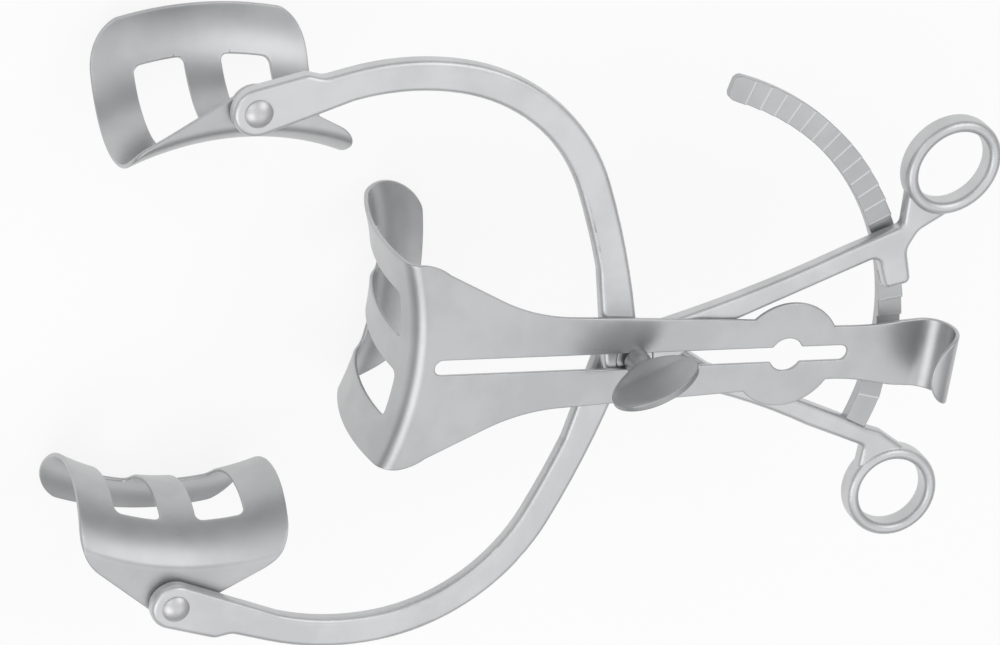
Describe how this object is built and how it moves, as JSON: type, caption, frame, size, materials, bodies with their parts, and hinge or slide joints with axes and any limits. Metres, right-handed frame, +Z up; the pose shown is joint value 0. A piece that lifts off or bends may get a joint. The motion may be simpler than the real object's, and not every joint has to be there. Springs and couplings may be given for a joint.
{
  "type": "self retaining retractor",
  "caption": "Self retaining abdominal retractor: two curved arms on one joint with finger rings and a ratchet, side blades, and a centre blade on a slotted bar held by a wing nut.",
  "frame": {"origin": "centre of the stud's head on the underside of the main joint, the flat face the tool's arms stand on", "axes": "+X along the centre blade's bar towards the finger rings, +Y towards the upper side blade, +Z up and away from the patient, so the blades hang towards -Z"},
  "size_m": [0.4733, 0.3308, 0.1554],
  "materials": {
    "forged_steel": "satin forging with polished edges",
    "ratchet_steel": "satin",
    "turned_steel": "fine turned",
    "wing_steel": "satin",
    "sheet_steel": "satin sheet, bright bends"
  },
  "bodies": {
    "pivot": {"joint_stud": "turned_steel", "joint_nut": "turned_steel"},
    "upper_arm": {"upper_arm": "forged_steel", "upper_rivet": "turned_steel", "upper_rivet_washer": "turned_steel"},
    "lower_arm": {"lower_arm": "forged_steel", "ratchet_bar": "ratchet_steel", "lower_rivet": "turned_steel", "lower_rivet_washer": "turned_steel"},
    "centre_blade": {"centre_blade": "sheet_steel"},
    "wing_nut": {"wing_nut": "wing_steel"},
    "upper_side_blade": {"upper_side_blade": "sheet_steel"},
    "lower_side_blade": {"lower_side_blade": "sheet_steel"}
  },
  "joints": [
    {"name": "upper_arm_turn", "type": "hinge", "parent": "pivot", "child": "upper_arm", "pos_m": [0, 0, 0.013], "axis": [0, 0, 1], "range_deg": [-10, 20]},
    {"name": "lower_arm_turn", "type": "hinge", "parent": "pivot", "child": "lower_arm", "pos_m": [0, 0, 0.004], "axis": [0, 0, -1], "range_deg": [-10, 20]},
    {"name": "blade_slide", "type": "slide", "parent": "pivot", "child": "centre_blade", "axis": [1, 0, 0], "range_m": [-0.105, 0.045]},
    {"name": "wing_turn", "type": "hinge", "parent": "pivot", "child": "wing_nut", "pos_m": [0, 0, 0.025], "axis": [0, 0, 1], "range_deg": [0, 360]},
    {"name": "upper_blade_turn", "type": "hinge", "parent": "upper_arm", "child": "upper_side_blade", "pos_m": [-0.2183, 0.13895, 0.0075], "axis": [0, 0, -1], "range_deg": [-25, 25]},
    {"name": "lower_blade_turn", "type": "hinge", "parent": "lower_arm", "child": "lower_side_blade", "pos_m": [-0.22695, -0.13647, -0.001], "axis": [0, 0, 1], "range_deg": [-25, 25]}
  ]
}
